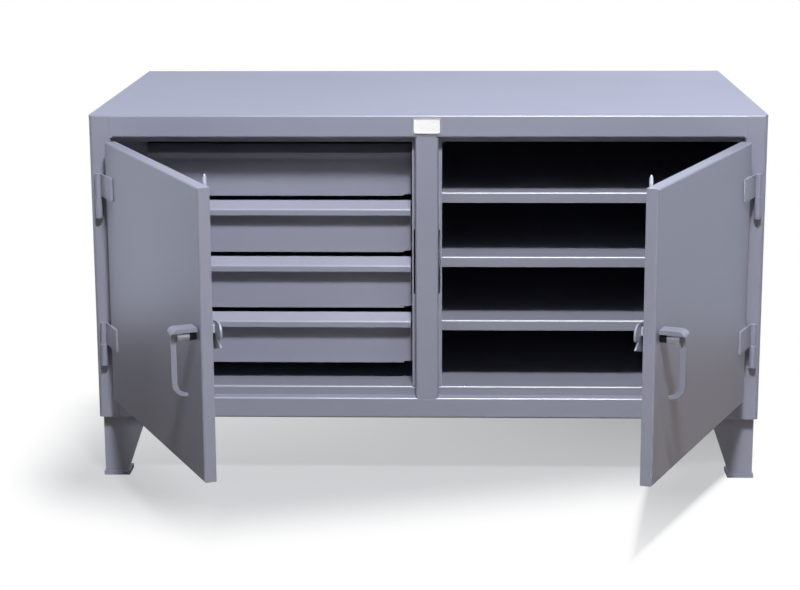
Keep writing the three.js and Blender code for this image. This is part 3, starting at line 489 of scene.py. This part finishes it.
def piece(name, build, matrix, body, slot, material=None):
    """A mesh built in millimetres in its own frame, put in place and ridden on its body."""
    mesh = mesh_from(name, build)
    mesh.transform(matrix)
    if matrix.determinant() < 0:
        mesh.flip_normals()
    mesh.polygons.foreach_set("use_smooth", [True] * len(mesh.polygons))
    mesh.set_sharp_from_angle(angle=math.radians(SMOOTH_ANGLE))
    mesh.materials.append(material or finishes[slot])
    thing = bpy.data.objects.new(name, mesh)
    scene.collection.objects.link(thing)
    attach(thing, body)


def band(bm, low, high):
    """Faces between two closed rings of as many points."""
    for i in range(len(low)):
        j = (i + 1) % len(low)
        bm.faces.new((low[i], low[j], high[j], high[i]))


def skin(bm, rings):
    for low, high in zip(rings, rings[1:]):
        band(bm, low, high)


def caps(bm, rings):
    bm.faces.new(list(reversed(rings[0])))
    bm.faces.new(rings[-1])


def basis(axis):
    axis = Vector(axis).normalized()
    side = axis.orthogonal().normalized()
    return side, axis.cross(side), axis


def turned_rings(bm, centre, axis, profile, angles):
    """A ring of points about an axis for each (radius, height) of a profile."""
    u, v, w = basis(axis)
    rings = []
    for radius, height in profile:
        ring = []
        for angle in angles:
            offset = u * (radius * math.cos(angle)) + v * (radius * math.sin(angle))
            ring.append(bm.verts.new(Vector(centre) + w * height + offset))
        rings.append(ring)
    return rings


def lathe(bm, centre, axis, profile, sides):
    angles = [2 * math.pi * i / sides for i in range(sides)]
    rings = turned_rings(bm, centre, axis, profile, angles)
    skin(bm, rings)
    return rings


def washer(bm, centre, axis, inner, outer, thick):
    rim_in, rim_drop = SLEEVE_RIM
    mouth_out, mouth_drop = SLEEVE_MOUTH
    profile = [(inner, 0.0), (outer, 0.0), (outer, thick - rim_drop), (outer - rim_in, thick)]
    profile += [(inner + mouth_out, thick), (inner, thick - mouth_drop)]
    rings = lathe(bm, centre, axis, profile, TURNED_SIDES)
    band(bm, rings[-1], rings[0])


def dome(bm, centre, axis, radius, height):
    profile = [(radius, 0.0), (radius, height * DOME_RIM)]
    for step in range(1, DOME_STEPS):
        angle = math.radians(90 * step / DOME_STEPS)
        rise = DOME_RIM + (1.0 - DOME_RIM) * math.sin(angle)
        profile.append((radius * math.cos(angle), height * rise))
    caps(bm, lathe(bm, centre, axis, profile, SMALL_SIDES))


def hex_nut(bm, centre, axis, flats, thick, bore):
    """A nut with chamfered corners and a threaded end showing in its bore."""
    corner = flats / math.sqrt(3)
    face = corner * NUT_FACE_SHARE
    profile = [(face, 0.0), (corner, NUT_CHAMFER), (corner, thick - NUT_CHAMFER), (face, thick)]
    rings = turned_rings(bm, centre, axis, profile, [math.pi * (i + 0.5) / 3 for i in range(6)])
    skin(bm, rings)
    caps(bm, rings)
    end = Vector(centre) + Vector(axis).normalized() * (thick - THREAD_SINK)
    thread = [(bore + wider, height) for wider, height in THREAD_END]
    caps(bm, lathe(bm, end, axis, thread, SMALL_SIDES))


def bead(bm, start, end, rise, radius):
    """A weld bead along a line: overlapping scales on a half-round run that stands up along rise."""
    start = Vector(start)
    end = Vector(end)
    along = (end - start).normalized()
    up = Vector(rise).normalized()
    side = along.cross(up)
    run = (end - start).length
    steps = max(BEAD_LEAST_STEPS, int(run / (radius * BEAD_STEP)))
    rings = []
    for k in range(steps + 1):
        travel = run * k / steps
        swell = BEAD_SWELL[0] + BEAD_SWELL[1] * math.sin(travel * 2 * math.pi / (radius * BEAD_PITCH))
        taper = min(1.0, BEAD_END_SHARE + min(travel, run - travel) / radius)
        reach = radius * swell * taper
        ring = []
        for i in range(BEAD_SIDES):
            angle = math.pi * 2 * i / BEAD_SIDES
            lag = -BEAD_LAG * radius * abs(math.cos(angle))
            point = start + along * (travel + lag)
            point += side * (reach * math.cos(angle)) + up * (reach * BEAD_RISE * math.sin(angle))
            ring.append(bm.verts.new(point))
        rings.append(ring)
    skin(bm, rings)
    caps(bm, rings)


def rounded_ring(bm, half_x, half_z, corner, width, y0, y1, middle_z):
    """A flat rounded border of a given width, in the x-z plane between y0 and y1."""
    def loop(inset, y):
        points = []
        for cx, cz, first in ((1, 1, 0), (-1, 1, 90), (-1, -1, 180), (1, -1, 270)):
            for step in range(BORDER_STEPS + 1):
                angle = math.radians(first + 90 * step / BORDER_STEPS)
                radius = corner - inset
                x = cx * (half_x - corner) + radius * math.cos(angle)
                z = cz * (half_z - corner) + radius * math.sin(angle)
                points.append(bm.verts.new((x, y, middle_z + z)))
        return points

    loops = [loop(0.0, y0), loop(0.0, y1), loop(width, y1), loop(width, y0)]
    skin(bm, loops + loops[:1])


def plate_border(bm):
    rounded_ring(bm, *BORDER_HALF, BORDER_CORNER, BORDER_BAND, PLATE_FACE, BORDER_FRONT, PLATE_MIDDLE)


def plate_rivets(bm):
    for x in (-RIVET_X, RIVET_X):
        for z in RIVET_HEIGHTS:
            dome(bm, (x, PLATE_FACE, z), FRONT, RIVET_RADIUS, RIVET_HEIGHT)


def ground_seam(bm, path, across):
    """A flush weld, ground smooth: a thin lens-shaped strip swept along points with outward normals."""
    across = Vector(across)
    rings = []
    for point, outward in path:
        ring = []
        for step in range(SEAM_STEPS + 1):
            share = 2.0 * step / SEAM_STEPS - 1.0
            lift = SEAM_PROUD * (1.0 - share * share) + SEAM_LIFT
            ring.append(bm.verts.new(Vector(point) + across * (SEAM_HALF * share) + Vector(outward) * lift))
        for share in (SEAM_ROOT_SHARE, -SEAM_ROOT_SHARE):
            foot = Vector(point) + across * (SEAM_HALF * share) - Vector(outward) * SEAM_ROOT
            ring.append(bm.verts.new(foot))
        rings.append(ring)
    skin(bm, rings)
    caps(bm, rings)


def straight(first, second, outward):
    first = Vector(first)
    second = Vector(second)
    shares = [step / SEAM_RUN_STEPS for step in range(SEAM_RUN_STEPS + 1)]
    return [(first.lerp(second, share), outward) for share in shares]


def corner_path(side):
    """Along the worktop's seam from the front, round the corner and back along the side."""
    turn_x = side * (SIDE_X - CORNER)
    path = straight((side * SEAM_X, 0.0, TOP_SEAM_Z), (turn_x, 0.0, TOP_SEAM_Z), FRONT)
    for step in range(1, CORNER_STEPS + 1):
        angle = math.radians(90 * step / CORNER_STEPS)
        outward = (side * math.sin(angle), -math.cos(angle), 0.0)
        point = (turn_x + CORNER * outward[0], CORNER + CORNER * outward[1], TOP_SEAM_Z)
        path.append((point, outward))
    path.append(((side * SIDE_X, BENCH_BACK - SEAM_END, TOP_SEAM_Z), (side, 0.0, 0.0)))
    return path


def frame_seams(bm):
    for side in DOOR_SIDE.values():
        for low, high in (TOP_RAIL_SPAN, BOTTOM_RAIL_SPAN):
            ends = (side * SEAM_X, 0.0, low), (side * SEAM_X, 0.0, high)
            ground_seam(bm, straight(*ends, FRONT), (1, 0, 0))
        ground_seam(bm, corner_path(side), (0, 0, 1))
    half = POST_HALF - SEAM_END
    for z in POST_SEAMS:
        ground_seam(bm, straight((-half, 0.0, z), (half, 0.0, z), FRONT), (0, 0, 1))


def frame_hinge_welds(side):
    def build(bm):
        above, below = FRAME_WELD_ENDS
        for split in HINGE_SPLITS.values():
            for x in (HINGE_AXIS[0] - FRAME_WELD_ASIDE, HINGE_AXIS[0] + FRAME_WELD_ASIDE):
                low = (side * x, -WELD_SINK, split - KNUCKLE + above)
                high = (side * x, -WELD_SINK, split - below)
                bead(bm, low, high, FRONT, FRAME_WELD_RADIUS)
    return build


def door_hinge_welds(bm):
    face = DOOR_FACE - WELD_SINK
    start = DOOR_NEAR + DOOR_WELD_START
    for split in HINGE_SPLITS.values():
        for z in (split, split + KNUCKLE):
            end = (HINGE_LEAF_END - DOOR_WELD_END, face, z)
            bead(bm, (start, face, z), end, FRONT, DOOR_WELD_RADIUS)
        low = (HINGE_LEAF_END, face, split + DOOR_WELD_END)
        high = (HINGE_LEAF_END, face, split + KNUCKLE - DOOR_WELD_END)
        bead(bm, low, high, FRONT, DOOR_WELD_RADIUS)


def spindle_collar(bm):
    centre = (SPINDLE_X, DOOR_FACE, LATCH_HEIGHT)
    washer(bm, centre, FRONT, SLEEVE_INNER, SLEEVE_OUTER, SLEEVE_LENGTH)


def spindle_nut(bm):
    hex_nut(bm, (SPINDLE_X, CAM_BACK, LATCH_HEIGHT), INWARD, NUT_FLATS, NUT_THICK, NUT_BORE)


def guide_bolts(bm):
    for middle in GUIDE_MIDDLES.values():
        for x in (ROD_X - BOLT_SPREAD, ROD_X + BOLT_SPREAD):
            dome(bm, (x, GUIDE_FLANGE_TOP, middle), INWARD, BOLT_RADIUS, BOLT_HEIGHT)


bench = bench_matrix()
piece("name_plate_border", plate_border, bench, "carcass", "blank_plate", plate_ink)
piece("name_plate_rivets", plate_rivets, bench, "carcass", "plated_steel")
piece("frame_seams", frame_seams, bench, "carcass", "body_paint", seam_paint)
for hand, sign in DOOR_SIDE.items():
    door = door_matrix(hand)
    body = hand + "_door"
    piece(f"frame_hinge_welds_{hand}", frame_hinge_welds(sign), bench, "carcass", "body_paint")
    piece(f"door_hinge_welds_{hand}", door_hinge_welds, door, body, "body_paint")
    piece(f"spindle_collar_{hand}", spindle_collar, door, body, "plated_steel", near_black_finish)
    piece(f"spindle_nut_{hand}", spindle_nut, door, hand + "_handle", "inner_paint")
    piece(f"guide_bolts_{hand}", guide_bolts, door, body, "plated_steel")


# Stage: pale floor with painted shadows, white surround with painted reflections, and soft lamps

def seen(tree):
    """1 for rays that show the stage itself: from the camera, mirrored or let through."""
    path = add(tree, "ShaderNodeLightPath")
    first = math_node(tree, "MAXIMUM", path.outputs["Is Camera Ray"], path.outputs["Is Glossy Ray"])
    return math_node(tree, "MAXIMUM", first, path.outputs["Is Transmission Ray"])


def mirrored_ray(tree):
    return add(tree, "ShaderNodeLightPath").outputs["Is Glossy Ray"]


def beyond(tree, value, edge):
    """How far a coordinate lies past an edge, or 0 on the near side of it."""
    return math_node(tree, "MAXIMUM", math_node(tree, "SUBTRACT", value, edge), 0.0)


def total(tree, *terms):
    result = terms[0]
    for term in terms[1:]:
        result = math_node(tree, "ADD", result, term)
    return result


def scaled(tree, value, factor):
    return math_node(tree, "MULTIPLY", value, factor)


def largest(tree, *values):
    result = values[0]
    for value in values[1:]:
        result = math_node(tree, "MAXIMUM", result, value)
    return result


def length(tree, *parts):
    squares = [scaled(tree, part, part) for part in parts]
    return math_node(tree, "POWER", total(tree, *squares), 0.5)


def rise_over(tree, value, span):
    """0 to 1 over a span, eased at both ends."""
    return rescale(tree, value, *span, 0.0, 1.0, "SMOOTHSTEP")


def bench_shade(tree, x, y):
    """Share of white in the floor by the distance from the painted shadow under the bench."""
    left = beyond(tree, scaled(tree, x, -1.0), SHADE_LEFT)
    fronts = []
    for slant, start in SHADE_FRONTS:
        fronts.append(beyond(tree, total(tree, scaled(tree, y, -1.0), scaled(tree, x, slant)), start))
    aside = scaled(tree, left, SHADE_FADE / SHADE_LEFT_FADE)
    away = length(tree, aside, largest(tree, *fronts), beyond(tree, y, SHADE_BACK))
    tilt = rescale(tree, y, *SHADE_TILT_SPAN, 0.0, SHADE_TILT)
    base = math_node(tree, "SUBTRACT", SHADE_WHITE, scaled(tree, x, tilt))
    fade = rise_over(tree, away, (0.0, SHADE_FADE))
    return total(tree, base, scaled(tree, fade, math_node(tree, "SUBTRACT", 1.0, base)))


def door_shade(tree, x, y):
    """Share of white in the painted shadow, a wedge that runs forwards beside the right door."""
    beside = total(tree, x, scaled(tree, y, DOOR_SHADE_SLOPE))
    side = rise_over(tree, beside, DOOR_SHADE_SIDE)
    depth = rescale(tree, y, *DOOR_SHADE_REACH, *DOOR_SHADE_WHITE)
    return largest(tree, side, depth, rise_over(tree, y, DOOR_SHADE_BACK))


def floor_white(tree, x, y):
    """Share of white anywhere on the floor, lower where shadow is painted: all white past the outer edge of
    the right door's painted shadow.
    """
    across, along = DOOR_SHADE_RUN
    past = total(tree, scaled(tree, x, across), scaled(tree, y, along))
    shaded = math_node(tree, "MINIMUM", bench_shade(tree, x, y), door_shade(tree, x, y))
    return largest(tree, rise_over(tree, past, DOOR_SHADE_EDGE), rise_over(tree, x, SHADE_RIGHT), shaded)


def seen_floor(tree, x, y):
    """Matt floor that bounces light, with its white share, low where the shadow is painted, shown only to
    rays that see it.
    """
    whiteness = floor_white(tree, x, y)
    matt = add(tree, "ShaderNodeBsdfDiffuse")
    wire(tree, mix_colour(tree, seen(tree), FLOOR_BOUNCE, FLOOR_LOOK), matt.inputs["Color"])
    glow = add(tree, "ShaderNodeEmission")
    plain = rescale(tree, whiteness, *SHADE_TINT_SPAN, 0.0, 1.0)
    wire(tree, mix_colour(tree, plain, SHADE_TINT, WHITE), glow.inputs["Color"])
    glow.inputs["Strength"].default_value = 1.0
    share = scaled(tree, seen(tree), whiteness)
    return mix_shader(tree, share, matt.outputs["BSDF"], glow.outputs["Emission"])


def mirrored_floor(tree, x, y):
    """Painted reflection of the floor, seen only by mirrored rays: dark and warm near the bench, pale and
    cool further back.
    """
    aside = scaled(tree, math_node(tree, "ABSOLUTE", x, 0.0), MIRROR_ASIDE)
    outward = total(tree, aside, scaled(tree, x, MIRROR_LEAN), scaled(tree, y, MIRROR_BACK))
    near = rescale(tree, x, *MIRROR_SIDES, *MIRROR_NEAR)
    far = rescale(tree, x, *MIRROR_SIDES, *MIRROR_FAR)
    share = rescale(tree, outward, *MIRROR_EDGE, 0.0, 1.0)
    gain = scaled(tree, share, math_node(tree, "SUBTRACT", far, near))
    glow = add(tree, "ShaderNodeEmission")
    wire(tree, mix_colour(tree, share, MIRROR_NEAR_TINT, MIRROR_TINT), glow.inputs["Color"])
    wire(tree, total(tree, near, gain), glow.inputs["Strength"])
    return glow.outputs["Emission"]


def floor_material():
    material, tree, output = new_material("stage_floor")
    place = add(tree, "ShaderNodeSeparateXYZ")
    wire(tree, add(tree, "ShaderNodeNewGeometry").outputs["Position"], place.inputs["Vector"])
    x = place.outputs["X"]
    y = place.outputs["Y"]
    ground = mix_shader(tree, mirrored_ray(tree), seen_floor(tree, x, y), mirrored_floor(tree, x, y))
    wire(tree, ground, output.inputs["Surface"])
    return material


def stage_floor():
    half = FLOOR_HALF
    z = FLOOR_HEIGHT
    mesh = bpy.data.meshes.new("floor")
    corners = [(-half, -half, z), (half, -half, z), (half, half, z), (-half, half, z)]
    mesh.from_pydata(corners, [], [(0, 1, 2, 3)])
    mesh.materials.append(floor_material())
    thing = bpy.data.objects.new("floor", mesh)
    scene.collection.objects.link(thing)


stage_floor()


def background(tree, colour, strength):
    node = add(tree, "ShaderNodeBackground")
    node.inputs["Color"].default_value = (*colour, 1.0)
    node.inputs["Strength"].default_value = strength
    return node


def surround():
    """Dim room for matt light, white where seen, and a painted reflection of a room brighter on the right.
    """
    world = bpy.data.worlds.new("surround")
    world.use_nodes = True
    tree = world.node_tree
    tree.nodes.clear()
    output = tree.nodes.new("ShaderNodeOutputWorld")
    dim = background(tree, ROOM_LIGHT, ROOM_LEVEL)
    white = background(tree, WHITE, 1.0)
    room = background(tree, MIRROR_TINT, 1.0)
    heading = add(tree, "ShaderNodeSeparateXYZ")
    wire(tree, add(tree, "ShaderNodeTexCoord").outputs["Generated"], heading.inputs["Vector"])
    level = rescale(tree, heading.outputs["X"], -MIRROR_ROOM_SPAN, MIRROR_ROOM_SPAN, *MIRROR_ROOM)
    wire(tree, level, room.inputs["Strength"])
    shown = mix_shader(tree, seen(tree), dim.outputs["Background"], white.outputs["Background"])
    mixed = mix_shader(tree, mirrored_ray(tree), shown, room.outputs["Background"])
    wire(tree, mixed, output.inputs["Surface"])
    scene.world = world


surround()


def lamp(name, place, target, size, power):
    data = bpy.data.lights.new(name, "AREA")
    data.shape = "DISK"
    data.size = size
    data.energy = power
    thing = bpy.data.objects.new(name, data)
    thing.location = place
    thing.rotation_euler = (Vector(target) - Vector(place)).to_track_quat("-Z", "Y").to_euler()
    scene.collection.objects.link(thing)
    return thing


lamp("key", *KEY)
lamp("fill_left", *FILL_LEFT)
lamp("fill_right", *FILL_RIGHT)
for rear in (lamp("rear_left", *REAR_LEFT), lamp("rear_right", *REAR_RIGHT)):
    rear.visible_camera = False
    rear.visible_glossy = False
sheen = lamp("sheen", *SHEEN)
sheen.visible_diffuse = False


# Camera

def camera():
    data = bpy.data.cameras.new("camera")
    data.sensor_fit = "HORIZONTAL"
    data.sensor_width = SENSOR_WIDTH
    data.lens = FOCAL_PIXELS * SENSOR_WIDTH / IMAGE_WIDTH
    data.clip_end = CAMERA_REACH
    turn = Matrix.Rotation(math.radians(CAMERA_YAW), 3, "Z")
    turn = turn @ Matrix.Rotation(math.radians(CAMERA_PITCH), 3, "X")
    turn = turn @ Matrix.Rotation(math.radians(CAMERA_ROLL), 3, "Y")
    facing = Matrix((turn.col[0], turn.col[2], -turn.col[1])).transposed().to_4x4()
    facing.translation = CAMERA_PLACE
    thing = bpy.data.objects.new("camera", data)
    thing.matrix_world = facing
    scene.collection.objects.link(thing)
    scene.camera = thing


camera()
